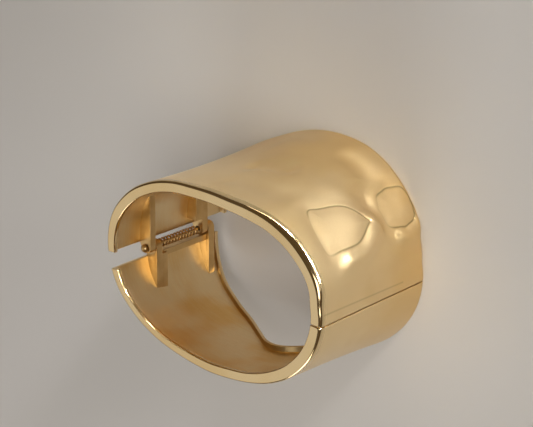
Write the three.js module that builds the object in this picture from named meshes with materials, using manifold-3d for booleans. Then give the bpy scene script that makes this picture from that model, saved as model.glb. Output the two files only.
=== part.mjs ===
// A wide hinged cuff bangle (kada) in polished gold-plated brass: two hollow-edged halves on a spring hinge.
// Millimetres, +Z up. The bangle lies on its side: +Z runs along the bore, from the rear rim to the front rim,
// +X from the hinge to the clasp seam, and +Y towards the upper half.
import * as THREE from "three";
import { mergeVertices } from "three/addons/utils/BufferGeometryUtils.js";
import Module from "manifold-3d";

const wasm = await Module();
wasm.setup();

// The band
const BAND_WIDTH = 37;
const WALL = 1.1;
const RIM_THICKNESS = 1.0;
const EDGE_ROUND = 0.8;
const INNER_CHAMFER = 0.25;
const CENTRE = new THREE.Vector2(0.5, -1);
// Middle of the bangle's outline on the surface it lies on, which becomes the part's origin
const OUTLINE_MIDDLE = { x: 0.84, y: 1.75 };

// Sections through the bore's centre, from the clasp seam over the upper half to the hinge and back below.
// front, middle and rear: radius of the outer face at the front rim, half way and at the rear rim;
// rim: depth of the turned-in rim;
// rise: how far the lower half's rear rim stands above the surface that the bangle lies on.
const SECTIONS = [
  { angle: 0, front: 32.9, middle: 31.9, rear: 31.0, rim: 3.1, rise: 0 },
  { angle: 15, front: 32.9, middle: 32.1, rear: 31.3, rim: 3.5, rise: 0 },
  { angle: 30, front: 30.4, middle: 31.0, rear: 31.7, rim: 3.5, rise: 0 },
  { angle: 45, front: 27.0, middle: 29.2, rear: 31.4, rim: 3.2, rise: 0 },
  { angle: 60, front: 23.8, middle: 26.8, rear: 30.2, rim: 2.9, rise: 0 },
  { angle: 75, front: 21.9, middle: 24.8, rear: 28.4, rim: 2.7, rise: 0 },
  { angle: 90, front: 21.6, middle: 23.5, rear: 27.0, rim: 2.7, rise: 0 },
  { angle: 105, front: 22.4, middle: 22.8, rear: 26.1, rim: 2.7, rise: 0 },
  { angle: 120, front: 24.5, middle: 23.9, rear: 26.0, rim: 2.7, rise: 0 },
  { angle: 135, front: 27.2, middle: 26.6, rear: 27.3, rim: 2.7, rise: 0 },
  { angle: 150, front: 30.1, middle: 29.5, rear: 29.7, rim: 2.7, rise: 0 },
  { angle: 165, front: 32.2, middle: 31.8, rear: 31.4, rim: 2.6, rise: 0 },
  { angle: 180, front: 32.2, middle: 31.9, rear: 31.9, rim: 2.3, rise: 2.4 },
  { angle: 195, front: 30.7, middle: 32.3, rear: 32.0, rim: 2.1, rise: 3.4 },
  { angle: 210, front: 27.7, middle: 30.7, rear: 30.5, rim: 2.0, rise: 5.3 },
  { angle: 225, front: 24.9, middle: 27.2, rear: 27.0, rim: 2.0, rise: 8 },
  { angle: 240, front: 22.7, middle: 24.1, rear: 24.2, rim: 2.1, rise: 11 },
  { angle: 255, front: 21.6, middle: 22.3, rear: 22.4, rim: 2.2, rise: 14.6 },
  { angle: 270, front: 21.5, middle: 21.8, rear: 21.9, rim: 2.3, rise: 17.6 },
  { angle: 285, front: 22.1, middle: 22.3, rear: 22.4, rim: 2.4, rise: 17.6 },
  { angle: 300, front: 23.8, middle: 23.9, rear: 24.6, rim: 2.4, rise: 13 },
  { angle: 315, front: 26.4, middle: 26.6, rear: 27.5, rim: 2.7, rise: 3.2 },
  { angle: 330, front: 29.3, middle: 29.1, rear: 29.0, rim: 2.9, rise: 0 },
  { angle: 345, front: 31.7, middle: 30.9, rear: 30.4, rim: 3.0, rise: 0 },
];
const SECTION_STEP = 360 / SECTIONS.length;

// Where each half starts and ends, in degrees about the bore, with a hair's gap at the clasp seam
const SEAM_ANGLE = -3.3;
const SEAM_HALF_GAP = 0.28;
const UPPER_END_ANGLE = 180.8;
const LOWER_START_ANGLE = 188.2;
const UPPER_HALF = { start: SEAM_ANGLE + SEAM_HALF_GAP, end: UPPER_END_ANGLE, stations: 54, rises: false };
const LOWER_HALF = { start: LOWER_START_ANGLE, end: 360 + SEAM_ANGLE - SEAM_HALF_GAP, stations: 48, rises: true };

// Thumb-pressed hollows in the upper half. along: the angle about the bore; height: above the rear rim;
// half_width is round the band and half_height across it; depth: below the even surface.
const HOLLOWS = [
  { along: 32, height: 23.5, half_width: 6.4, half_height: 7, depth: 0.8 },
  { along: 31, height: 6, half_width: 5, half_height: 4.4, depth: 0.7 },
  { along: 84, height: 19, half_width: 6, half_height: 3.2, depth: 0.4 },
];

// The hinge: tabs in planes of their own, from front to rear, on a pin that runs along the bore
const PIN = { x: -28.8, y: -2.65, radius: 0.4, head_radius: 0.95, head_height: 0.7 };
const FIT = 0.3;
const TAB_RADIUS = 1.3;
const TAB_FACE_X = -27.15;
const WALL_BITE = 0.5;
const UPPER_FRONT_TAB = { bottom: 25.9, top: 27.6 };
const UPPER_REAR_TAB = { bottom: 8.6, top: 10.3 };
const UPPER_REAR_FOOT = { bottom: 10.2, top: 12.4, end_y: 0.3 };
const LOWER_FRONT_TAB = { bottom: 23.7, top: 25.6 };
const LOWER_FRONT_FOOT = { bottom: 22, top: 23.8, end_y: -4.7 };
const LOWER_REAR_TAB = { bottom: 6.4, top: 8.3 };
const STOP_BAR = { left: -30.2, right: -28, bottom: -5.7, top: -4.3 };
const SPRING = { radius: 0.88, wire: 0.44, turns: 12, bottom: 10.95, top: 23.1 };

const GOLD = new THREE.MeshStandardMaterial({ color: 0xd9b36a, metalness: 1, roughness: 0.12 });
const CAST_GOLD = new THREE.MeshStandardMaterial({ color: 0xcf9a45, metalness: 1, roughness: 0.3 });
const SPRING_BRASS = new THREE.MeshStandardMaterial({ color: 0xb98745, metalness: 1, roughness: 0.35 });

const radians = THREE.MathUtils.degToRad;

// A column of the table at any angle, smooth through its rows
function column(name, angle) {
  const place = (((angle % 360) + 360) % 360) / SECTION_STEP;
  const row = Math.floor(place);
  const t = place - row;
  const value = (step) => SECTIONS[(row + step + SECTIONS.length) % SECTIONS.length][name];
  const [a, b, c, d] = [value(-1), value(0), value(1), value(2)];
  return b + 0.5 * t * (c - a + t * (2 * a - 5 * b + 4 * c - d + t * (3 * (b - c) + d - a)));
}


// Radius of the outer face without the hollows, on a parabola through front, middle and rear
function evenRadius(angle, z) {
  const t = 1 - z / BAND_WIDTH;
  const front = column("front", angle) * (1 - t) * (1 - 2 * t);
  const rear = column("rear", angle) * t * (2 * t - 1);
  return front + column("middle", angle) * 4 * t * (1 - t) + rear;
}

// Radius of the outer face, with the pressed hollows
function outerRadius(angle, z) {
  const even = evenRadius(angle, z);
  const pressed = HOLLOWS.reduce((sum, hollow) => {
    const across = (radians(angle - hollow.along) * even) / hollow.half_width;
    const up = (z - hollow.height) / hollow.half_height;
    return sum + hollow.depth * Math.exp(-Math.pow(across * across + up * up, 2));
  }, 0);
  return even - pressed;
}

// A point at a depth below the outer face, kept in the plane of its angle
function bandPoint(angle, z, depth) {
  const step = 0.5;
  const slope = (evenRadius(angle + step, z) - evenRadius(angle - step, z)) / radians(2 * step);
  const lean = Math.hypot(1, slope / evenRadius(angle, z));
  const radius = outerRadius(angle, z) - depth * lean;
  return new THREE.Vector3(
    CENTRE.x + radius * Math.cos(radians(angle)),
    CENTRE.y + radius * Math.sin(radians(angle)),
    z,
  );
}

// One section of the sheet, from the rear rim up the outer face, over the front rim and back down inside
function bandSection(angle, rises) {
  const rear = rises ? Math.max(0, column("rise", angle)) : 0;
  const front = BAND_WIDTH;
  const rim = column("rim", angle);
  const outerSteps = 14;
  const innerSteps = 7;
  const roundSteps = 2;
  const points = [];
  const add = (z, depth) => points.push(bandPoint(angle, z, depth));
  for (let i = 0; i <= outerSteps; i++) {
    add(THREE.MathUtils.lerp(rear + EDGE_ROUND, front - EDGE_ROUND, i / outerSteps), 0);
  }
  for (let i = 1; i <= roundSteps; i++) {
    const turn = ((i / roundSteps) * Math.PI) / 2;
    add(front - EDGE_ROUND * (1 - Math.sin(turn)), EDGE_ROUND * (1 - Math.cos(turn)));
  }
  add(front, rim - INNER_CHAMFER);
  add(front - INNER_CHAMFER, rim);
  add(front - RIM_THICKNESS, rim);
  for (let i = 0; i <= innerSteps; i++) {
    add(THREE.MathUtils.lerp(front - RIM_THICKNESS, rear + RIM_THICKNESS, i / innerSteps), WALL);
  }
  add(rear + RIM_THICKNESS, rim);
  add(rear + INNER_CHAMFER, rim);
  add(rear, rim - INNER_CHAMFER);
  for (let i = roundSteps; i >= 1; i--) {
    const turn = ((i / roundSteps) * Math.PI) / 2;
    add(rear + EDGE_ROUND * (1 - Math.sin(turn)), EDGE_ROUND * (1 - Math.cos(turn)));
  }
  return points;
}

// Faces that close one section of the sheet
function capFaces(ring, first, flip) {
  const flat = ring.map((p) => new THREE.Vector2(Math.hypot(p.x - CENTRE.x, p.y - CENTRE.y), p.z));
  const faces = THREE.ShapeUtils.triangulateShape(flat, []);
  return faces.flatMap(([a, b, c]) => (flip ? [c, b, a] : [a, b, c]).map((corner) => corner + first));
}

// One half of the band: a skin through its sections, closed at both ends
function bandHalf(half) {
  const rings = [];
  for (let i = 0; i <= half.stations; i++) {
    rings.push(bandSection(THREE.MathUtils.lerp(half.start, half.end, i / half.stations), half.rises));
  }
  const count = rings[0].length;
  const last = half.stations * count;
  const faces = [...capFaces(rings[0], 0, false), ...capFaces(rings[half.stations], last, true)];
  for (let first = 0; first < last; first += count) {
    for (let i = 0; i < count; i++) {
      const a = first + i;
      const b = first + ((i + 1) % count);
      faces.push(a, a + count, b + count, a, b + count, b);
    }
  }
  const geometry = new THREE.BufferGeometry();
  const places = rings.flat().flatMap((p) => p.toArray());
  geometry.setAttribute("position", new THREE.Float32BufferAttribute(places, 3));
  geometry.setIndex(faces);
  return geometry;
}

// A three.js geometry as a solid that can be joined and cut
function solid(geometry) {
  const bare = geometry.index ? geometry.toNonIndexed() : geometry.clone();
  bare.deleteAttribute("normal");
  bare.deleteAttribute("uv");
  const merged = mergeVertices(bare, 1e-4);
  const corners = merged.index.array;
  const faces = [];
  for (let i = 0; i < corners.length; i += 3) {
    const face = corners.slice(i, i + 3);
    if (new Set(face).size === 3) faces.push(...face);
  }
  const mesh = new wasm.Mesh({
    numProp: 3,
    vertProperties: new Float32Array(merged.attributes.position.array),
    triVerts: new Uint32Array(faces),
  });
  return new wasm.Manifold(mesh);
}

function geometryOf(body) {
  const mesh = body.getMesh();
  const geometry = new THREE.BufferGeometry();
  geometry.setAttribute("position", new THREE.Float32BufferAttribute(mesh.vertProperties, 3));
  geometry.setIndex([...mesh.triVerts]);
  return geometry;
}

function plate(shape, layer) {
  const depth = layer.top - layer.bottom;
  return new THREE.ExtrudeGeometry(shape, { depth, bevelEnabled: false }).translate(0, 0, layer.bottom);
}

// Solder line inside the wall, from one angle to another
function wallLine(fromAngle, toAngle, z) {
  const steps = 8;
  return Array.from({ length: steps + 1 }, (_, i) => {
    const point = bandPoint(THREE.MathUtils.lerp(fromAngle, toAngle, i / steps), z, WALL - WALL_BITE);
    return new THREE.Vector2(point.x, point.y);
  });
}

// The first angle past the start, in steps of the given size, at which the solder line is far enough along
function firstAngle(start, step, z, reached) {
  let angle = start;
  while (!reached(bandPoint(angle, z, WALL - WALL_BITE))) angle += step;
  return angle;
}

// The part of a tab or foot along the wall: side is 1 on the upper half and -1 on the lower
function leafBack(layer, side) {
  const z = (layer.bottom + layer.top) / 2;
  const edge = side > 0 ? UPPER_END_ANGLE - 1 : LOWER_START_ANGLE + 1;
  const step = -side * 0.1;
  const near = firstAngle(edge, step, z, (point) => side * (point.y - (layer.end_y ?? PIN.y)) > 0);
  const far = firstAngle(edge, step, z, (point) => point.x > TAB_FACE_X - WALL_BITE);
  return wallLine(near, far, z);
}

// A hinge tab: a plate from the wall to the pin, with the pin's hole
function tab(layer, side) {
  const back = leafBack(layer, side);
  const quarter = (-side * Math.PI) / 2;
  const shape = new THREE.Shape();
  shape.moveTo(TAB_FACE_X, back[back.length - 1].y);
  shape.absellipse(PIN.x, PIN.y, TAB_FACE_X - PIN.x, TAB_RADIUS, 0, quarter, side > 0);
  shape.absellipse(PIN.x, PIN.y, TAB_RADIUS, TAB_RADIUS, quarter, 2 * quarter, side > 0);
  back.forEach((point) => shape.lineTo(point.x, point.y));
  const hole = new THREE.Path();
  hole.absarc(PIN.x, PIN.y, PIN.radius + FIT, 0, 2 * Math.PI, side < 0);
  shape.holes.push(hole);
  return plate(shape, layer);
}

// The foot beside a tab, which ends short of the pin
function foot(layer, side) {
  const back = leafBack(layer, side);
  const shape = new THREE.Shape();
  shape.moveTo(TAB_FACE_X, layer.end_y);
  shape.lineTo(PIN.x - TAB_RADIUS, layer.end_y);
  back.forEach((point) => shape.lineTo(point.x, point.y));
  shape.lineTo(TAB_FACE_X, back[back.length - 1].y);
  return plate(shape, layer);
}

// The bar that ties the lower tabs together, just under the spring
function stopBar() {
  const bar = { bottom: LOWER_REAR_TAB.top - WALL_BITE, top: LOWER_FRONT_TAB.bottom + WALL_BITE };
  const shape = new THREE.Shape();
  shape.moveTo(STOP_BAR.left, STOP_BAR.bottom);
  shape.lineTo(STOP_BAR.right, STOP_BAR.bottom);
  shape.lineTo(STOP_BAR.right, STOP_BAR.top);
  shape.lineTo(STOP_BAR.left, STOP_BAR.top);
  return plate(shape, bar);
}

function join(first, ...others) {
  return geometryOf(others.reduce((sum, other) => sum.add(solid(other)), solid(first)));
}

function named(name, geometry, material) {
  const mesh = new THREE.Mesh(geometry, material);
  mesh.name = name;
  return mesh;
}

function upperShell() {
  const band = bandHalf(UPPER_HALF);
  return join(band, tab(UPPER_FRONT_TAB, 1), tab(UPPER_REAR_TAB, 1), foot(UPPER_REAR_FOOT, 1));
}

function lowerShell() {
  const band = bandHalf(LOWER_HALF);
  const tabs = [tab(LOWER_FRONT_TAB, -1), tab(LOWER_REAR_TAB, -1)];
  return join(band, ...tabs, foot(LOWER_FRONT_FOOT, -1), stopBar());
}

// The pin with its two riveted heads
function hingePin() {
  const head = PIN.head_radius;
  const rear = LOWER_REAR_TAB.bottom - FIT;
  const front = UPPER_FRONT_TAB.top + FIT;
  const profile = [
    [0, rear - PIN.head_height],
    [head * 0.7, rear - PIN.head_height * 0.8],
    [head, rear - PIN.head_height * 0.3],
    [head, rear],
    [PIN.radius, rear],
    [PIN.radius, front],
    [head, front],
    [head, front + PIN.head_height * 0.3],
    [head * 0.7, front + PIN.head_height * 0.8],
    [0, front + PIN.head_height],
  ].map(([x, y]) => new THREE.Vector2(x, y));
  return new THREE.LatheGeometry(profile, 16).rotateX(Math.PI / 2).translate(PIN.x, PIN.y, 0);
}

class Helix extends THREE.Curve {
  getPoint(t, target = new THREE.Vector3()) {
    const turn = 2 * Math.PI * SPRING.turns * t;
    const z = THREE.MathUtils.lerp(SPRING.bottom, SPRING.top, t);
    return target.set(PIN.x + SPRING.radius * Math.cos(turn), PIN.y + SPRING.radius * Math.sin(turn), z);
  }
}

// The coil spring round the pin, which holds the bangle shut
function hingeSpring() {
  const wire = new THREE.Shape();
  wire.absarc(0, 0, SPRING.wire / 2, 0, 2 * Math.PI, false);
  const steps = SPRING.turns * 10;
  return new THREE.ExtrudeGeometry(wire, { steps, curveSegments: 3, extrudePath: new Helix() });
}

const bangle = new THREE.Group();
bangle.position.set(-OUTLINE_MIDDLE.x, -OUTLINE_MIDDLE.y, 0);
bangle.add(named("upper_shell", upperShell(), GOLD));
bangle.add(named("lower_shell", lowerShell(), GOLD));
bangle.add(named("hinge_pin", hingePin(), CAST_GOLD));
bangle.add(named("hinge_spring", hingeSpring(), SPRING_BRASS));

const kada = new THREE.Group();
kada.add(bangle);

export default kada;
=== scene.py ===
"""A wide hinged cuff bangle (kada) in polished gold plate, lying on its side on a pale floor.

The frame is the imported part: metres, +Z along the bore from the rear rim, which is down, to the
front rim, +X from the hinge to the clasp seam, +Y towards the upper half.
"""
import math

import bmesh
import bpy
import numpy as np
from mathutils import Matrix, Vector


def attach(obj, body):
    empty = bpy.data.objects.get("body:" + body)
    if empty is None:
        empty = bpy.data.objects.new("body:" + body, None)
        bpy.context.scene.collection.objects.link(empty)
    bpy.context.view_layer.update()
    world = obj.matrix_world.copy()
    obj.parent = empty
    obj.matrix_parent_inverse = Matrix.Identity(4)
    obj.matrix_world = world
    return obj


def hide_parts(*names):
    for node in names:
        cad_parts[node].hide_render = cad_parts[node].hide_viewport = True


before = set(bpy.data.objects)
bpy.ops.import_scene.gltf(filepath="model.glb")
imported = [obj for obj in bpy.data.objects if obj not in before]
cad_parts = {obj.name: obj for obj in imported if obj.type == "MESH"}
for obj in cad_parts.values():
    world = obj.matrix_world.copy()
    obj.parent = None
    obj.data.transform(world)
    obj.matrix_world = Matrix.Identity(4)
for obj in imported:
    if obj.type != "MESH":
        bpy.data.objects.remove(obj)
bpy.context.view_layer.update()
MM = 0.001

# ----------------------------------------------------------------------------------------------------
# Sizes, in millimetres about the design's own zero, from which the part's origin lies OUTLINE_MIDDLE away
# ----------------------------------------------------------------------------------------------------
OUTLINE_MIDDLE = (0.84, 1.75)
BAND_WIDTH = 37.0
WALL = 1.1
RIM_THICKNESS = 1.0
CENTRE = (0.5, -1.0)

# Sections round the bore, from the clasp seam over the upper half to the hinge and back below: radius
# of the outer face at the front rim, half way and at the rear rim; depth of the turned-in rim; how far
# the lower half's rear rim stands above the floor; radius of the rims' rounded outer edges.
COLUMNS = ("angle", "front", "middle", "rear", "rim", "rise", "round")
SECTIONS = (
    (0, 32.9, 31.9, 31.0, 3.1, 0.0, 1.0),
    (15, 32.9, 32.1, 31.3, 3.5, 0.0, 1.5),
    (30, 30.4, 31.0, 31.7, 3.5, 0.0, 1.5),
    (45, 27.0, 29.2, 31.4, 3.2, 0.0, 1.2),
    (60, 23.8, 26.8, 30.2, 2.9, 0.0, 0.9),
    (75, 21.9, 24.8, 28.4, 2.7, 0.0, 0.8),
    (90, 21.6, 23.5, 27.0, 2.7, 0.0, 0.8),
    (105, 22.4, 22.8, 26.1, 2.7, 0.0, 0.8),
    (120, 24.5, 23.9, 26.0, 2.7, 0.0, 0.8),
    (135, 27.2, 26.6, 27.3, 2.7, 0.0, 0.8),
    (150, 30.1, 29.5, 29.7, 2.7, 0.0, 0.7),
    (165, 32.2, 31.8, 31.4, 2.6, 0.0, 0.6),
    (180, 32.2, 31.9, 31.9, 2.3, 2.4, 0.5),
    (195, 30.7, 32.3, 32.0, 2.1, 3.4, 0.5),
    (210, 27.7, 30.7, 30.5, 2.0, 5.3, 0.5),
    (225, 24.9, 27.2, 27.0, 2.0, 8.0, 0.5),
    (240, 22.7, 24.1, 24.2, 2.1, 11.0, 0.5),
    (255, 21.6, 22.3, 22.4, 2.2, 14.6, 0.5),
    (270, 21.5, 21.8, 21.9, 2.3, 17.6, 0.5),
    (285, 22.1, 22.3, 22.4, 2.4, 17.6, 0.5),
    (300, 23.8, 23.9, 24.6, 2.4, 13.0, 0.5),
    (315, 26.4, 26.6, 27.5, 2.7, 3.2, 0.5),
    (330, 29.3, 29.1, 29.0, 2.9, 0.0, 0.5),
    (345, 31.7, 30.9, 30.4, 3.0, 0.0, 0.7),
)
SECTION_STEP = 360 / len(SECTIONS)

SEAM_ANGLE = -3.3
SEAM_HALF_GAP = 0.28
UPPER_HALF = {"start": SEAM_ANGLE + SEAM_HALF_GAP, "end": 180.8, "rises": False}
LOWER_HALF = {"start": 188.2, "end": 360 + SEAM_ANGLE - SEAM_HALF_GAP, "rises": True}

# Thumb-pressed hollows. A crease runs round three or four corners: the angle about the bore, the height
# above the rear rim, how far from the corner the rounding starts and how far the side that follows bows
# out. The floor of the hollow goes up by "rise" from "floor", in the direction UPHILL, and is domed by
# "dome". Towards HEEL the sheet outside swells by "swell" over a distance of "reach", and then falls away
# over "fall". All in millimetres but the angles; "crease" is the depth of the groove.
HOLLOWS = (
    {
        "corners": ((46.5, 27.5, 3.5, 1.6), (29.5, 14, 2, 1.2), (19, 32.5, 7, 0.2)),
        "half_length": 6.2, "floor": -0.35, "rise": 0.85, "dome": 0.15,
        "swell": 0.62, "reach": 2.3, "fall": 2.1, "crease": 0.06,
    },
    {
        "corners": ((39.5, 9.5, 3, 0.2), (39.5, 1, 3, 0), (23, 1, 3, 0.2), (22.5, 11, 5, 0.2)),
        "half_length": 4.6, "floor": -0.3, "rise": 0.6, "dome": 0.12,
        "swell": 0.5, "reach": 2.0, "fall": 2.0, "crease": 0.06,
    },
)
HEEL = (-0.86, -0.51)
UPHILL = (-0.5, -0.87)
HEEL_FROM, HEEL_FULL = 0.35, 0.8
TILT_FROM, TILT_FULL = -0.7, 1.0
SHOULDER_WIDTH, SHOULDER_POWER = 2.4, 1.5
DOME_WIDTH = 1.8
CREASE_WIDTH = 0.18
# Share of the groove that is lost on the side nearest the front rim, and where that begins and ends
SOFT_SHARE, SOFT_FROM, SOFT_FULL = 0.85, 0.5, 0.85
# The folds fade out this close to a crease; a hollow is worked out this far round it (degrees, millimetres)
FOLD_FADE = 3
HOLLOW_MARGIN = (16, 8)
CREASE_MARGIN = (2, 1)
# The edge of the narrow land beside the clasp seam, with the width and strength of the painted shade line
# along it
LAND_EDGE = ((1.5, 36), (0.5, 8))
LAND_SHADE_WIDTH, LAND_SHADE_STRENGTH = 0.16, 0.4
# Millimetres round the band for each degree
ARC = math.radians(1) * 30.5

# Soft valleys and ridges of the sheet, each along a line through angles and heights: half width and
# height in millimetres, negative for a valley
FOLDS = (
    {"line": ((90, 28), (60, 28)), "width": 3.4, "height": -0.55},
    {"line": ((60, 7), (47, 8), (40, 12), (30, 12.5)), "width": 3.0, "height": -0.55},
    {"line": ((96, 19.5), (74, 18.5)), "width": 2.6, "height": -0.9},
    {"line": ((52, 18.5), (37, 14.5)), "width": 2.4, "height": 0.12},
    {"line": ((5, 36), (5, 0)), "width": 2.2, "height": -0.32},
    {"line": ((100, 9), (84, 9)), "width": 4.5, "height": 0.5},
)

PIN = {"x": -28.8, "y": -2.65, "radius": 0.4, "head": 0.95, "head_height": 0.7}
FIT = 0.3
TAB_RADIUS = 1.3
TAB_FACE_X = -27.15
WALL_BITE = 0.5
SPRING = {"radius": 0.88, "wire": 0.44, "turns": 12, "bottom": 10.95, "top": 23.1}
TABS = {
    "upper_front_tab": {"side": 1, "bottom": 25.9, "top": 27.6},
    "upper_rear_tab": {"side": 1, "bottom": 8.6, "top": 10.3},
    "upper_rear_foot": {"side": 1, "bottom": 10.2, "top": 12.4, "end_y": 0.3},
    "lower_front_tab": {"side": -1, "bottom": 23.7, "top": 25.6},
    "lower_rear_tab": {"side": -1, "bottom": 6.4, "top": 8.3},
    "lower_front_foot": {"side": -1, "bottom": 22.0, "top": 23.8, "end_y": -4.7},
}
STOP_BAR = {"left": -30.2, "right": -28.0, "bottom": -5.7, "top": -4.3, "rear": 7.8, "front": 24.2}

# ----------------------------------------------------------------------------------------------------
# Camera, floor and lights
# ----------------------------------------------------------------------------------------------------
CAMERA_TURN = math.radians(47.5)
CAMERA_RISE = math.radians(20)
CAMERA_DISTANCE = 0.728
CAMERA_AIM = Vector((-0.00285, 0.00745, 0.0158))
CAMERA_LENS = 218.4


def add_camera():
    """A long lens that sees the bangle's front rim and clasp side, rolled so that the upper half is up."""
    right = Vector((math.sin(CAMERA_TURN), 0, -math.cos(CAMERA_TURN)))
    back = Vector((
        math.cos(CAMERA_TURN) * math.cos(CAMERA_RISE),
        math.sin(CAMERA_RISE),
        math.sin(CAMERA_TURN) * math.cos(CAMERA_RISE),
    ))
    up = back.cross(right)
    data = bpy.data.cameras.new("camera")
    data.lens = CAMERA_LENS
    data.sensor_width = 36
    data.clip_start = 0.05
    camera = bpy.data.objects.new("camera", data)
    turn = Matrix((right, up, back)).transposed().to_4x4()
    camera.matrix_world = Matrix.Translation(CAMERA_AIM + back * CAMERA_DISTANCE) @ turn
    bpy.context.scene.collection.objects.link(camera)
    bpy.context.scene.camera = camera


# Soft boxes and low strips: where each stands (degrees round from +X, degrees up, metres away), its size
# in metres, its spread in degrees, the height on the bore's line that it faces and its power in watts
LIGHTS = {
    "key": (270, 28, 0.9, (0.45, 0.45), 180, 0.02, 2.35),
    "overhead": (0, 58, 0.9, (0.45, 0.45), 180, 0.02, 2.35),
    "rim_card": (212, 41, 0.9, (0.7, 0.7), 180, 0.02, 0.85),
    "front_card": (22, 24, 0.9, (0.6, 0.4), 180, 0.02, 0.4),
    "strip_front": (50, 7, 0.4, (0.24, 0.04), 45, 0.02, 0.06),
    "strip_swells": (26, 7, 0.4, (0.14, 0.04), 14, 0.042, 0.03),
    "strip_hollows": (50, 7, 0.4, (0.14, 0.04), 14, 0.042, 0.06),
    "strip_upper_front": (85, 7, 0.4, (0.14, 0.04), 14, 0.045, 0.03),
    "strip_upper_side": (100, 7, 0.4, (0.24, 0.04), 45, 0.02, 0.02),
}


def add_light(name, around, up, away, size, spread, aim, power):
    """A rectangular light that faces the bore's line and shows in reflections but not to the camera."""
    data = bpy.data.lights.new(name, "AREA")
    data.shape = "RECTANGLE"
    data.size, data.size_y = size
    data.energy = power
    data.spread = math.radians(spread)
    light = bpy.data.objects.new(name, data)
    around, up = math.radians(around), math.radians(up)
    direction = (math.cos(around) * math.cos(up), math.sin(around) * math.cos(up), math.sin(up))
    place = Vector(direction) * away
    light.location = place
    light.rotation_euler = (Vector((0, 0, aim)) - place).to_track_quat("-Z", "Y").to_euler()
    light.visible_camera = False
    bpy.context.scene.collection.objects.link(light)


# ----------------------------------------------------------------------------------------------------
# Shader expressions
# ----------------------------------------------------------------------------------------------------
class Wire:
    """A shader socket that can be used in an expression."""

    def __init__(self, tree, socket):
        self.tree = tree
        self.socket = socket

    def node(self, kind, settings=None, output=0, **inputs):
        """Any node: its settings first, then the values or links of its sockets."""
        made = self.tree.nodes.new(kind)
        for key, value in (settings or {}).items():
            setattr(made, key, value)
        for key, value in inputs.items():
            socket = made.inputs[int(key[1:]) if key[0] == "_" else key.replace("_", " ")]
            if isinstance(value, Wire):
                self.tree.links.new(value.socket, socket)
            else:
                socket.default_value = value
        return Wire(self.tree, made.outputs[output])

    def math(self, operation, *values):
        places = {f"_{i}": value for i, value in enumerate(values)}
        return self.node("ShaderNodeMath", {"operation": operation}, **places)

    def __add__(self, other):
        return self.math("ADD", self, other)

    __radd__ = __add__

    def __rsub__(self, other):
        return self.math("SUBTRACT", other, self)

    def __mul__(self, other):
        return self.math("MULTIPLY", self, other)

    def between(self, low, high):
        """0 below low, 1 above high, smooth in between."""
        settings = {"interpolation_type": "SMOOTHSTEP"}
        return self.node("ShaderNodeMapRange", settings, Value=self, From_Min=low, From_Max=high)

    def blend(self, first, second):
        """One colour or the other, by this value."""
        return self.node("ShaderNodeMix", {"data_type": "RGBA"}, output=2, _0=self, _6=first, _7=second)


class Finish:
    """A material under construction, with its Principled shader."""

    def __init__(self, name):
        self.material = bpy.data.materials.new(name)
        self.material.use_nodes = True
        self.tree = self.material.node_tree
        self.shader = self.tree.nodes["Principled BSDF"]
        place = self.tree.nodes.new("ShaderNodeTexCoord")
        self.place = Wire(self.tree, place.outputs["Object"])

    def stretched(self, x, y, z):
        settings = {"vector_type": "POINT"}
        return self.place.node("ShaderNodeMapping", settings, Vector=self.place, Scale=(x, y, z))

    def height(self):
        """Height above the rear rim's plane, in metres."""
        return self.place.node("ShaderNodeSeparateXYZ", None, output=2, Vector=self.place)

    def mark(self, name):
        """A value written on the points of the piece's mesh."""
        return self.place.node("ShaderNodeAttribute", {"attribute_name": name}, output=2)

    def noise(self, place, scale, detail=3.0, roughness=0.5):
        return place.node(
            "ShaderNodeTexNoise", None, Vector=place, Scale=scale, Detail=detail, Roughness=roughness
        )

    def set(self, **values):
        for key, value in values.items():
            socket = self.shader.inputs[key.replace("_", " ")]
            if isinstance(value, Wire):
                self.tree.links.new(value.socket, socket)
            else:
                socket.default_value = value

    def bump(self, height, distance, strength):
        made = height.node("ShaderNodeBump", None, Height=height, Distance=distance, Strength=strength)
        self.set(Normal=made)


# Colours, bright and deep
POLISHED = (0.855, 0.655, 0.36, 1)
POLISHED_DEEP = (0.79, 0.57, 0.27, 1)
# Dark brown of the painted shade laid along the creases and the land's edge
CREASE_PAINTED_SHADE = (0.30, 0.20, 0.07, 1)
BRUSHED = (0.96, 0.79, 0.50, 1)
BRUSHED_DEEP = (0.90, 0.60, 0.22, 1)
HINGE_GOLD = (0.80, 0.56, 0.26, 1)
HINGE_GOLD_DEEP = (0.68, 0.44, 0.18, 1)
WIRE_GOLD = (0.72, 0.46, 0.19, 1)
WIRE_GOLD_DEEP = (0.50, 0.29, 0.10, 1)
FLOOR_PALE = (0.69, 0.665, 0.63, 1)
FLOOR_DEEP = (0.67, 0.645, 0.61, 1)
STUDIO_TINT = (0.9, 0.66, 0.42, 1)
STUDIO_STRENGTH = 0.1

SATIN = 0.285
BUFFED = 0.12
# How far the painted crease shade darkens the plate
CREASE_SHADE_AMOUNT = 0.85
# How far below the front rim's face the buffing begins and is complete
BUFFED_FROM, BUFFED_FULL = 2.0, 0.6


def polished_gold():
    """Satin-bright plate with a faint ripple and hairline rubs, buffed mirror-like on the rims, and painted
    shade along the creases.
    """
    finish = Finish("polished_gold")
    cloud = finish.noise(finish.place, 45)
    ripple = finish.noise(finish.place, 160, detail=1)
    hairline = finish.noise(finish.stretched(300, 300, 3200), 1.0, detail=4, roughness=0.7)
    buffed = finish.height().between((BAND_WIDTH - BUFFED_FROM) * MM, (BAND_WIDTH - BUFFED_FULL) * MM)
    plate = cloud.between(0.35, 0.65).blend(POLISHED, POLISHED_DEEP)
    satin = SATIN + cloud.between(0.3, 0.7) * 0.03 + hairline.between(0.3, 0.7) * 0.015
    finish.set(
        # Painted shade: the plate is darkened along the hollows' creases and the land's edge, standing in
        # for the shade in those narrow grooves
        Base_Color=(finish.mark("crease") * CREASE_SHADE_AMOUNT).blend(plate, CREASE_PAINTED_SHADE),
        Metallic=1.0,
        Roughness=satin * (1 - buffed) + buffed * BUFFED,
    )
    finish.bump(ripple, 0.0001, 0.12)
    return finish.material


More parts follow.
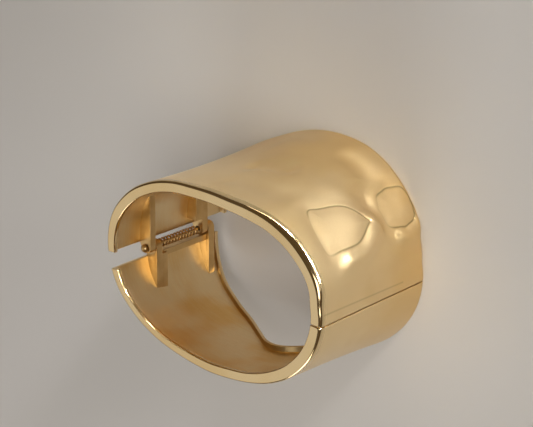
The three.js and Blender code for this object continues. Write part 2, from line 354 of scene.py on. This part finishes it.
def brushed_gold():
    """The inside of the sheet: satin and faintly hammered, with brush lines that run round the bore."""
    finish = Finish("brushed_gold")
    cloud = finish.noise(finish.place, 45)
    hammered = finish.noise(finish.place, 330, detail=2)
    lines = finish.noise(finish.stretched(120, 120, 5200), 1.0, detail=4, roughness=0.65)
    deep = cloud.between(0.4, 0.6) * 0.75 + lines.between(0.3, 0.7) * 0.25
    finish.set(
        Base_Color=deep.blend(BRUSHED, BRUSHED_DEEP),
        Metallic=1.0,
        Roughness=0.34 + cloud.between(0.3, 0.7) * 0.06 + lines.between(0.4, 0.7) * 0.08,
    )
    finish.bump(hammered + lines * 0.15, 0.0002, 0.5)
    return finish.material


def hinge_gold():
    """Satin plate of the hinge tabs, the bar and the pin."""
    finish = Finish("hinge_gold")
    cloud = finish.noise(finish.place, 220)
    grain = finish.noise(finish.stretched(900, 2600, 900), 1.0, detail=3)
    finish.set(
        Base_Color=cloud.between(0.3, 0.7).blend(HINGE_GOLD, HINGE_GOLD_DEEP),
        Metallic=1.0,
        Roughness=0.29 + grain.between(0.35, 0.7) * 0.05,
    )
    finish.bump(grain, 0.00003, 0.1)
    return finish.material


def spring_wire():
    """Redder, darker wire of the coil."""
    finish = Finish("spring_wire")
    cloud = finish.noise(finish.place, 700)
    finish.set(
        Base_Color=cloud.between(0.35, 0.7).blend(WIRE_GOLD, WIRE_GOLD_DEEP),
        Metallic=1.0,
        Roughness=0.26 + cloud.between(0.4, 0.7) * 0.12,
    )
    finish.bump(cloud, 0.00003, 0.3)
    return finish.material


def floor_paint():
    """Matt pale paint."""
    finish = Finish("floor_paint")
    cloud = finish.noise(finish.place, 8)
    finish.set(
        Base_Color=cloud.between(0.3, 0.7).blend(FLOOR_PALE, FLOOR_DEEP),
        Roughness=0.85,
    )
    return finish.material


# ----------------------------------------------------------------------------------------------------
# The band's shape
# ----------------------------------------------------------------------------------------------------
TABLE = np.array(SECTIONS)


def column(name, angle):
    """A column of the table at any angle, smooth through its rows."""
    values = TABLE[:, COLUMNS.index(name)]
    place = np.mod(np.asarray(angle, float), 360) / SECTION_STEP
    row = np.floor(place).astype(int)
    t = place - row
    a, b, c, d = (values[(row + step) % len(values)] for step in (-1, 0, 1, 2))
    return b + 0.5 * t * (c - a + t * (2 * a - 5 * b + 4 * c - d + t * (3 * (b - c) + d - a)))


def even_radius(angle, z):
    """Radius of the outer face without the hollows, on a parabola through front, middle and rear."""
    t = 1 - z / BAND_WIDTH
    front = column("front", angle) * (1 - t) * (1 - 2 * t)
    rear = column("rear", angle) * t * (2 * t - 1)
    return front + column("middle", angle) * 4 * t * (1 - t) + rear


def smooth_loop(corners, steps=8):
    """A closed outline that runs smoothly through its corners."""
    points = np.array(corners, float)
    a, b, c, d = (np.roll(points, -step, axis=0)[:, None, :] for step in (-1, 0, 1, 2))
    t = (np.arange(steps) / steps)[None, :, None]
    curve = b + 0.5 * t * (c - a + t * (2 * a - 5 * b + 4 * c - d + t * (3 * (b - c) + d - a)))
    return curve.reshape(-1, 2)


def crease_loop(hollow):
    """A hollow's crease in millimetres round and up the band, its corners rounded and its sides bowed."""
    table = np.array(hollow["corners"], float)
    corner, rounding, bow = table[:, :2] * (ARC, 1), table[:, 2:3], table[:, 3:4]
    side = np.roll(corner, -1, axis=0) - corner
    onward = side / np.hypot(side[:, :1], side[:, 1:])
    leave = corner + onward * rounding
    arrive = corner - np.roll(onward, 1, axis=0) * rounding
    turn = (arrive + leave + 2 * corner) / 4
    outward = np.stack([-onward[:, 1], onward[:, 0]], 1)
    bulge = (leave + np.roll(arrive, -1, axis=0)) / 2 + outward * bow
    return smooth_loop(np.stack([arrive, turn, leave, bulge], 1).reshape(-1, 2))


def crease_distance(point, loop):
    """Distance to a closed outline, negative inside it."""
    point = point[..., None, :]
    end = np.roll(loop, -1, axis=0)
    along = end - loop
    t = np.clip(((point - loop) * along).sum(-1) / (along ** 2).sum(-1), 0, 1)
    nearest = loop + t[..., None] * along
    distance = np.sqrt(((point - nearest) ** 2).sum(-1)).min(-1)
    above = (loop[:, 1] > point[..., 1]) != (end[:, 1] > point[..., 1])
    rise = np.where(np.abs(along[:, 1]) < 1e-9, 1e-9, along[:, 1])
    crossing = loop[:, 0] + (point[..., 1] - loop[:, 1]) / rise * along[:, 0]
    inside = (above & (point[..., 0] < crossing)).sum(-1) % 2 == 1
    return np.where(inside, -distance, distance)


def smoothstep(x, low, high):
    t = np.clip((x - low) / (high - low), 0, 1)
    return t * t * (3 - 2 * t)


def hollow_height(point, hollow):
    """Height over the even face, distance to the crease and how deep in the crease a point lies."""
    loop = crease_loop(hollow)
    d = crease_distance(point, loop)
    away = point - loop.mean(0)
    along = (away * HEEL).sum(-1)
    length = np.sqrt((away ** 2).sum(-1)) + 1e-9
    heel = smoothstep(along / length, HEEL_FROM, HEEL_FULL)
    tilt = (away * UPHILL).sum(-1) / hollow["half_length"]
    level = hollow["floor"] + hollow["rise"] * smoothstep(tilt, TILT_FROM, TILT_FULL)
    outside_distance = np.clip(d, 0, None)
    shoulder = level * np.exp(-(outside_distance / SHOULDER_WIDTH) ** SHOULDER_POWER)
    climb = np.sin(math.pi / 2 * np.clip(d / hollow["reach"], 0, 1))
    fall = np.exp(-(np.clip(d - hollow["reach"], 0, None) / hollow["fall"]) ** 2)
    swell = (level + hollow["swell"] * climb) * fall
    outside = shoulder + (swell - shoulder) * heel
    crisp = 1 - SOFT_SHARE * smoothstep(away[..., 1] / length, SOFT_FROM, SOFT_FULL)
    crease = crisp * np.exp(-(d / CREASE_WIDTH) ** 2)
    dome = hollow["dome"] * (1 - np.exp(-(np.clip(d, None, 0) / DOME_WIDTH) ** 2))
    return np.where(d < 0, level + dome, outside) - hollow["crease"] * crease, d, crease


def line_distance(point, line):
    """Distance to an open line through a few points."""
    line = np.array(line, float) * (ARC, 1)
    distance = np.full(point.shape[:-1], np.inf)
    for start, end in zip(line, line[1:]):
        along = end - start
        t = np.clip(((point - start) * along).sum(-1) / (along ** 2).sum(), 0, 1)
        distance = np.minimum(distance, np.sqrt(((point - start - t[..., None] * along) ** 2).sum(-1)))
    return distance


def pressed(angle, z):
    """How far the folds and hollows lie below the even face."""
    angle, z = np.broadcast_arrays(np.mod(angle + 180, 360) - 180, z)
    point = np.stack([angle * ARC, z], -1)
    depth = np.zeros(angle.shape)
    for fold in FOLDS:
        depth -= fold["height"] * np.exp(-(line_distance(point, fold["line"]) / fold["width"]) ** 2)
    for hollow in HOLLOWS:
        loop = crease_loop(hollow) / (ARC, 1)
        low, high = loop.min(0) - HOLLOW_MARGIN, loop.max(0) + HOLLOW_MARGIN
        near = (angle > low[0]) & (angle < high[0]) & (z > low[1]) & (z < high[1])
        height, d, _ = hollow_height(point[near], hollow)
        depth[near] = depth[near] * smoothstep(d, 0, FOLD_FADE) - height
    return depth


def band_points(angle, z, depth):
    """Points at a depth below the outer face, kept in the plane of their angle."""
    step = 0.5
    even = even_radius(angle, z)
    slope = (even_radius(angle + step, z) - even_radius(angle - step, z)) / math.radians(2 * step)
    lean = np.hypot(1, slope / even)
    radius = even - pressed(angle, z) - depth * lean
    turn = np.radians(angle)
    x = CENTRE[0] - OUTLINE_MIDDLE[0] + radius * np.cos(turn)
    y = CENTRE[1] - OUTLINE_MIDDLE[1] + radius * np.sin(turn)
    return np.stack(np.broadcast_arrays(x, y, z), -1) * MM


# Along the band: from each angle on, the distance between sections in millimetres
STATIONS = ((-4, 0.16), (2.6, 0.5), (14, 0.16), (49, 0.55), (360, 0.55))
# Faces of a section across the outer face, a rounded edge, a rim's face and the inside
OUTER_STEPS = 230
ROUND_STEPS = 8
RIM_STEPS = 4
INNER_STEPS = 24
# Radius of the rims' inner edges
LIP = 0.2


def band_section(angle, rises):
    """Heights and depths of a closed section of the sheet at each angle, and which strips are inside."""
    zero = np.zeros_like(angle)
    rear = np.maximum(0, column("rise", angle)) if rises else zero
    front = zero + BAND_WIDTH
    rim = column("rim", angle)
    edge = column("round", angle)
    heights, depths, inside = [], [], []

    def add(z, depth, is_inside=False):
        heights.append(z + zero)
        depths.append(depth + zero)
        inside.append(is_inside)

    for t in np.linspace(0, 1, OUTER_STEPS + 1):
        add(rear + edge + (front - rear - 2 * edge) * t, 0)
    for turn in np.linspace(0, math.pi / 2, ROUND_STEPS + 1)[1:]:
        add(front - edge * (1 - math.sin(turn)), edge * (1 - math.cos(turn)))
    for t in np.linspace(0, 1, RIM_STEPS + 1)[1:]:
        add(front, edge + (rim - LIP - edge) * t)
    for turn in (math.pi / 6, math.pi / 3, math.pi / 2):
        add(front - LIP * (1 - math.cos(turn)), rim - LIP * (1 - math.sin(turn)))
    add(front - RIM_THICKNESS, rim)
    for t in np.linspace(0, 1, INNER_STEPS + 1):
        add(front - RIM_THICKNESS + (rear - front + 2 * RIM_THICKNESS) * t, WALL, t < 1)
    add(rear + RIM_THICKNESS, rim)
    for turn in (math.pi / 2, math.pi / 3, math.pi / 6):
        add(rear + LIP * (1 - math.cos(turn)), rim - LIP * (1 - math.sin(turn)))
    for t in np.linspace(1, 0, RIM_STEPS + 1):
        add(rear, edge + (rim - LIP - edge) * t)
    for turn in np.linspace(math.pi / 2, 0, ROUND_STEPS + 1)[1:-1]:
        add(rear + edge * (1 - math.sin(turn)), edge * (1 - math.cos(turn)))
    return np.stack(heights, 1), np.stack(depths, 1), inside


def station_angles(start, end):
    """Angles of the sections of one half, close together at the seam and the hollows."""
    runs = []
    for (low, step), (high, _) in zip(STATIONS, STATIONS[1:]):
        low, high = max(low, start), min(high, end)
        if low < high:
            runs.append(np.linspace(low, high, math.ceil((high - low) * ARC / step), endpoint=False))
    return np.append(np.concatenate(runs), end)


def band_half(name, half, materials):
    """One half of the band as a fine closed mesh: polished outside and on the rims, brushed inside."""
    angle = station_angles(half["start"], half["end"])
    stations = len(angle) - 1
    z, depth, inside = band_section(angle, half["rises"])
    points = band_points(angle[:, None], z, depth)
    count = points.shape[1]
    place = np.arange((stations + 1) * count).reshape(stations + 1, count)
    after = np.roll(place, -1, axis=1)
    quads = np.stack([place[:-1], place[1:], after[1:], after[:-1]], -1).reshape(-1, 4)
    mesh = bpy.data.meshes.new(name)
    faces = quads.tolist() + [place[0].tolist(), place[-1][::-1].tolist()]
    mesh.from_pydata(points.reshape(-1, 3).tolist(), [], faces)
    slots = [1 if is_inside else 0 for is_inside in inside] * stations + [0, 0]
    mesh.polygons.foreach_set("material_index", slots)
    piece = finished(name, mesh, materials, bevel=0.12, sharp=60)
    # Where the painted shade lies along the creases
    mark_painted_crease_shade(piece.data)
    return piece


def mark_painted_crease_shade(mesh):
    """Writes how deep in a crease each point lies, and a line along the land's edge, as the strength of the
    painted shade there.
    """
    point = np.empty(len(mesh.vertices) * 3)
    mesh.vertices.foreach_get("co", point)
    x, y, z = point.reshape(-1, 3).T / MM
    angle = np.degrees(np.arctan2(y - CENTRE[1] + OUTLINE_MIDDLE[1], x - CENTRE[0] + OUTLINE_MIDDLE[0]))
    place = np.stack([angle * ARC, z], -1)
    shade_marks = np.zeros(len(place))
    for hollow in HOLLOWS:
        loop = crease_loop(hollow) / (ARC, 1)
        low, high = loop.min(0) - CREASE_MARGIN, loop.max(0) + CREASE_MARGIN
        near = (angle > low[0]) & (angle < high[0]) & (z > low[1]) & (z < high[1])
        shade_marks[near] = np.maximum(shade_marks[near], hollow_height(place[near], hollow)[2])
    # A painted shade line along the land's edge
    land_shade = LAND_SHADE_STRENGTH * np.exp(-(line_distance(place, LAND_EDGE) / LAND_SHADE_WIDTH) ** 2)
    shade_marks = np.maximum(shade_marks, land_shade)
    written = mesh.attributes.new("crease", "FLOAT", "POINT")
    written.data.foreach_set("value", shade_marks.astype(np.float32))


def finished(name, mesh, materials, bevel=0.0, sharp=40):
    """An object for a mesh, with its hard edges eased, its normals out and its materials."""
    piece = bpy.data.objects.new(name, mesh)
    bpy.context.scene.collection.objects.link(piece)
    for material in materials:
        mesh.materials.append(material)
    work = bmesh.new()
    work.from_mesh(mesh)
    bmesh.ops.remove_doubles(work, verts=work.verts, dist=1e-7)
    bmesh.ops.recalc_face_normals(work, faces=work.faces)
    work.to_mesh(mesh)
    work.free()
    if bevel:
        ease = piece.modifiers.new("ease", "BEVEL")
        ease.width = bevel * MM
        ease.segments = 2
        ease.limit_method = "ANGLE"
        ease.angle_limit = math.radians(55)
        plain(piece)
    piece.data.shade_smooth()
    piece.data.set_sharp_from_angle(angle=math.radians(sharp))
    return piece


def plain(piece):
    """Turns an object's modifiers into its mesh."""
    bpy.context.view_layer.update()
    evaluated = piece.evaluated_get(bpy.context.evaluated_depsgraph_get())
    made = bpy.data.meshes.new_from_object(evaluated)
    piece.modifiers.clear()
    old = piece.data
    piece.data = made
    bpy.data.meshes.remove(old)


# ----------------------------------------------------------------------------------------------------
# The hinge
# ----------------------------------------------------------------------------------------------------
def wall_point(angle, z):
    """A point of the solder line inside the wall."""
    return band_points(np.array([angle]), np.array([z]), WALL - WALL_BITE)[0] / MM + (*OUTLINE_MIDDLE, 0)


def leaf_back(layer):
    """The part of a tab's or foot's outline along the wall."""
    side = layer["side"]
    z = (layer["bottom"] + layer["top"]) / 2
    near = UPPER_HALF["end"] - 1 if side > 0 else LOWER_HALF["start"] + 1
    while side * (wall_point(near, z)[1] - layer.get("end_y", PIN["y"])) <= 0:
        near -= side * 0.1
    far = near
    while wall_point(far, z)[0] <= TAB_FACE_X - WALL_BITE:
        far -= side * 0.1
    return [tuple(wall_point(angle, z)[:2]) for angle in np.linspace(near, far, 17)]


def tab_outline(layer):
    """The outline of a tab, rounded about the pin, or of a foot that ends short of it."""
    side = layer["side"]
    back = leaf_back(layer)
    if "end_y" in layer:
        head = [(TAB_FACE_X, layer["end_y"]), (PIN["x"] - TAB_RADIUS, layer["end_y"])]
    else:
        head = []
        for turn in np.linspace(0, math.pi, 25):
            reach = TAB_FACE_X - PIN["x"] if turn < math.pi / 2 else TAB_RADIUS
            x = PIN["x"] + reach * math.cos(turn)
            head.append((x, PIN["y"] - side * TAB_RADIUS * math.sin(turn)))
    return [(TAB_FACE_X, back[-1][1])] + head + back


def plate(name, outline, bottom, top, material, hole=None, ease=0.07):
    """A flat plate with eased edges, with a round hole if one is given."""
    data = bpy.data.curves.new(name, "CURVE")
    data.dimensions = "2D"
    data.fill_mode = "BOTH"
    data.extrude = ((top - bottom) / 2 - ease) * MM
    data.bevel_depth = ease * MM
    data.bevel_resolution = 2
    data.offset = -ease * MM
    loops = [outline]
    if hole:
        turns = np.linspace(0, 2 * math.pi, 33)[:-1]
        loops.append([(hole[0] + hole[2] * math.cos(a), hole[1] + hole[2] * math.sin(a)) for a in turns])
    for loop in loops:
        spline = data.splines.new("POLY")
        spline.points.add(len(loop) - 1)
        spline.use_cyclic_u = True
        for point, (x, y) in zip(spline.points, loop):
            point.co = ((x - OUTLINE_MIDDLE[0]) * MM, (y - OUTLINE_MIDDLE[1]) * MM, 0, 1)
    holder = bpy.data.objects.new(name + "_outline", data)
    bpy.context.scene.collection.objects.link(holder)
    bpy.context.view_layer.update()
    mesh = bpy.data.meshes.new_from_object(holder.evaluated_get(bpy.context.evaluated_depsgraph_get()))
    bpy.data.objects.remove(holder)
    mesh.transform(Matrix.Translation((0, 0, (bottom + top) / 2 * MM)))
    mesh.name = name
    mesh.materials.clear()
    return finished(name, mesh, [material], sharp=35)


def lathe(name, profile, material, segments=40):
    """A turned piece about the pin's line, from radii and heights that start and end on it."""
    mesh = bpy.data.meshes.new(name)
    work = bmesh.new()
    cx, cy = PIN["x"] - OUTLINE_MIDDLE[0], PIN["y"] - OUTLINE_MIDDLE[1]
    verts = [work.verts.new(((cx + r) * MM, cy * MM, z * MM)) for r, z in profile]
    edges = [work.edges.new(pair) for pair in zip(verts, verts[1:])]
    bmesh.ops.spin(
        work, geom=verts + edges, cent=(cx * MM, cy * MM, 0), axis=(0, 0, 1),
        angle=2 * math.pi, steps=segments, use_duplicate=False, use_merge=True,
    )
    bmesh.ops.remove_doubles(work, verts=work.verts, dist=1e-7)
    work.to_mesh(mesh)
    work.free()
    return finished(name, mesh, [material], sharp=50)


def rivet_head(edge, top, radius, rounding=8):
    """Profile of a riveted head, from its flat face to its crown."""
    turns = np.linspace(0, math.pi / 2, rounding)
    return [(radius * math.cos(a), edge + (top - edge) * math.sin(a)) for a in turns]


def hinge_pin(material):
    """The pin through the four tabs, with a riveted head at each end."""
    rear = TABS["lower_rear_tab"]["bottom"] - FIT
    front = TABS["upper_front_tab"]["top"] + FIT
    height = PIN["head_height"]
    profile = rivet_head(rear, rear - height, PIN["head"])[::-1]
    profile += [(PIN["radius"], rear), (PIN["radius"], front)]
    profile += rivet_head(front, front + height, PIN["head"])
    return lathe("pin", profile, material)


def spring_tree(material):
    """Geometry Nodes that wind round wire into a coil about the origin's Z line."""
    tree = bpy.data.node_groups.new("coil_spring", "GeometryNodeTree")
    sizes = ("Turns", "Coil Radius", "Coil Height", "Wire Radius")
    for name in sizes:
        tree.interface.new_socket(name, in_out="INPUT", socket_type="NodeSocketFloat")
    tree.interface.new_socket("Geometry", in_out="OUTPUT", socket_type="NodeSocketGeometry")
    given = tree.nodes.new("NodeGroupInput")
    result = tree.nodes.new("NodeGroupOutput")

    def node(kind, **inputs):
        made = tree.nodes.new(kind)
        for key, value in inputs.items():
            socket = made.inputs[key.replace("_", " ")]
            if isinstance(value, bpy.types.NodeSocket):
                tree.links.new(value, socket)
            else:
                socket.default_value = value
        return made

    radius = given.outputs["Coil Radius"]
    coil = node(
        "GeometryNodeCurveSpiral", Resolution=36, Rotations=given.outputs["Turns"],
        Start_Radius=radius, End_Radius=radius, Height=given.outputs["Coil Height"],
    )
    wire = node("GeometryNodeCurvePrimitiveCircle", Resolution=12, Radius=given.outputs["Wire Radius"])
    body = node(
        "GeometryNodeCurveToMesh", Curve=coil.outputs["Curve"], Profile_Curve=wire.outputs["Curve"],
        Fill_Caps=True,
    )
    smooth = node("GeometryNodeSetShadeSmooth", Geometry=body.outputs["Mesh"])
    real = node("GeometryNodeRealizeInstances", Geometry=smooth.outputs["Geometry"])
    dressed = node("GeometryNodeSetMaterial", Geometry=real.outputs["Geometry"], Material=material)
    tree.links.new(dressed.outputs["Geometry"], result.inputs["Geometry"])
    return tree


def hinge_spring(material):
    """The coil round the pin, as a plain mesh."""
    mesh = bpy.data.meshes.new("spring")
    piece = bpy.data.objects.new("spring", mesh)
    bpy.context.scene.collection.objects.link(piece)
    winder = piece.modifiers.new("coil", "NODES")
    winder.node_group = spring_tree(material)
    sizes = {
        "Turns": float(SPRING["turns"]),
        "Coil Radius": SPRING["radius"] * MM,
        "Coil Height": (SPRING["top"] - SPRING["bottom"]) * MM,
        "Wire Radius": SPRING["wire"] / 2 * MM,
    }
    for item in winder.node_group.interface.items_tree:
        if item.in_out == "INPUT":
            winder[item.identifier] = sizes[item.name]
    plain(piece)
    place = (PIN["x"] - OUTLINE_MIDDLE[0], PIN["y"] - OUTLINE_MIDDLE[1], SPRING["bottom"])
    piece.data.transform(Matrix.Translation(Vector(place) * MM))
    return piece


# ----------------------------------------------------------------------------------------------------
# Putting it together
# ----------------------------------------------------------------------------------------------------
add_camera()

gold = polished_gold()
inner_gold = brushed_gold()
tab_gold = hinge_gold()
wire_gold = spring_wire()

upper_band = band_half("upper_band", UPPER_HALF, [gold, inner_gold])
lower_band = band_half("lower_band", LOWER_HALF, [gold, inner_gold])
BODY_OF_SIDE = {1: "upper_half", -1: "lower_half"}
SHELL_OF_SIDE = {1: "upper_shell", -1: "lower_shell"}
SHELL_PIECES = {1: [upper_band], -1: [lower_band]}
for name, layer in TABS.items():
    hole = None if "end_y" in layer else (PIN["x"], PIN["y"], PIN["radius"] + FIT)
    piece = plate(name, tab_outline(layer), layer["bottom"], layer["top"], tab_gold, hole)
    SHELL_PIECES[layer["side"]].append(piece)
bar = STOP_BAR
corners = [
    (bar["left"], bar["bottom"]),
    (bar["right"], bar["bottom"]),
    (bar["right"], bar["top"]),
    (bar["left"], bar["top"]),
]
SHELL_PIECES[-1].append(plate("stop_bar", corners, bar["rear"], bar["front"], tab_gold, ease=0.15))
pin = hinge_pin(tab_gold)
spring = hinge_spring(wire_gold)

for side, pieces in SHELL_PIECES.items():
    for piece in pieces:
        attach(piece, BODY_OF_SIDE[side])
        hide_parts(SHELL_OF_SIDE[side])
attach(pin, "upper_half")
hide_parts("hinge_pin")
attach(spring, "upper_half")
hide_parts("hinge_spring")

# The floor and the studio
bpy.ops.mesh.primitive_plane_add(size=3.0, location=(0, 0, 0))
floor = bpy.context.active_object
floor.name = "floor"
floor.data.materials.append(floor_paint())

for name, light in LIGHTS.items():
    add_light(name, *light)

world = bpy.data.worlds.new("studio")
bpy.context.scene.world = world
world.use_nodes = True
world.node_tree.nodes["Background"].inputs["Color"].default_value = STUDIO_TINT
world.node_tree.nodes["Background"].inputs["Strength"].default_value = STUDIO_STRENGTH
bpy.context.scene.view_settings.view_transform = "Standard"
